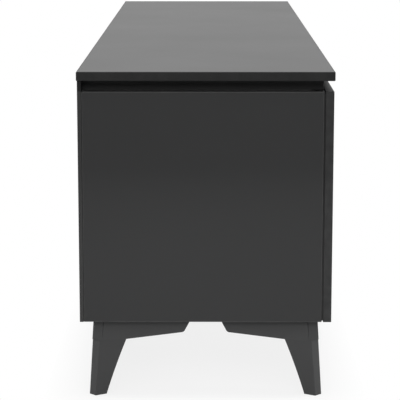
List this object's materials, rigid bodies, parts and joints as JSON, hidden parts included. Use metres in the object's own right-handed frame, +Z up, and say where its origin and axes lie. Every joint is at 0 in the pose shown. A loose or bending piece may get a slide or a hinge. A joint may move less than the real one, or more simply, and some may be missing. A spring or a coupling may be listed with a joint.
{
  "type": "dresser with drawers",
  "caption": "Long low dresser on splayed corner legs, with a thin top over a shadow gap and handleless full-overlay drawer fronts.",
  "frame": {"origin": "centre of the footprint box, on the floor under the feet", "axes": "+X along the length to the right as seen from the front, +Y to the back, +Z up; the drawer fronts face -Y"},
  "size_m": [1.816, 0.452, 0.592],
  "materials": {
    "case_lacquer": "matt anthracite lacquer on board",
    "leg_lacquer": "satin anthracite lacquer on solid wood",
    "inner_board": "grey melamine",
    "drawer_board": "grey melamine",
    "channel_coat": "matt anthracite powder coat",
    "runner_steel": "zinc plated",
    "screw_steel": "zinc plated",
    "strip_plastic": "moulded nylon",
    "glide_plastic": "moulded plastic"
  },
  "bodies": {
    "case": {"top_board": "case_lacquer", "riser_front": "case_lacquer", "riser_rear": "case_lacquer", "riser_ends": "case_lacquer", "riser_cross": "case_lacquer", "riser_blocks": "case_lacquer", "side_left": "case_lacquer", "side_right": "case_lacquer", "partition_left": "inner_board", "partition_right": "inner_board", "bottom_board": "case_lacquer", "deck_board": "inner_board", "back_panel": "case_lacquer", "grip_channel_top": "channel_coat", "grip_channel_upper": "channel_coat", "grip_channel_lower": "channel_coat", "leg_front_left": "leg_lacquer", "leg_front_right": "leg_lacquer", "leg_rear_left": "leg_lacquer", "leg_rear_right": "leg_lacquer", "leg_screws": "screw_steel", "foot_glides": "glide_plastic", "left_bars": "runner_steel", "right_bars": "runner_steel", "top_bars": "runner_steel", "middle_bars": "runner_steel", "bottom_bars": "runner_steel"},
    "left_drawer": {"left_front": "case_lacquer", "left_side_a": "drawer_board", "left_side_b": "drawer_board", "left_back": "drawer_board", "left_base": "drawer_board", "left_strips": "strip_plastic"},
    "right_drawer": {"right_front": "case_lacquer", "right_side_a": "drawer_board", "right_side_b": "drawer_board", "right_back": "drawer_board", "right_base": "drawer_board", "right_strips": "strip_plastic"},
    "top_drawer": {"top_front": "case_lacquer", "top_side_a": "drawer_board", "top_side_b": "drawer_board", "top_back": "drawer_board", "top_base": "drawer_board", "top_strips": "strip_plastic"},
    "middle_drawer": {"middle_front": "case_lacquer", "middle_side_a": "drawer_board", "middle_side_b": "drawer_board", "middle_back": "drawer_board", "middle_base": "drawer_board", "middle_strips": "strip_plastic"},
    "bottom_drawer": {"bottom_front": "case_lacquer", "bottom_side_a": "drawer_board", "bottom_side_b": "drawer_board", "bottom_back": "drawer_board", "bottom_base": "drawer_board", "bottom_strips": "strip_plastic"}
  },
  "joints": [
    {"name": "left_slide", "type": "slide", "parent": "case", "child": "left_drawer", "axis": [0, -1, 0], "range_m": [0, 0.27]},
    {"name": "right_slide", "type": "slide", "parent": "case", "child": "right_drawer", "axis": [0, -1, 0], "range_m": [0, 0.27]},
    {"name": "top_slide", "type": "slide", "parent": "case", "child": "top_drawer", "axis": [0, -1, 0], "range_m": [0, 0.27]},
    {"name": "middle_slide", "type": "slide", "parent": "case", "child": "middle_drawer", "axis": [0, -1, 0], "range_m": [0, 0.27]},
    {"name": "bottom_slide", "type": "slide", "parent": "case", "child": "bottom_drawer", "axis": [0, -1, 0], "range_m": [0, 0.27]}
  ]
}
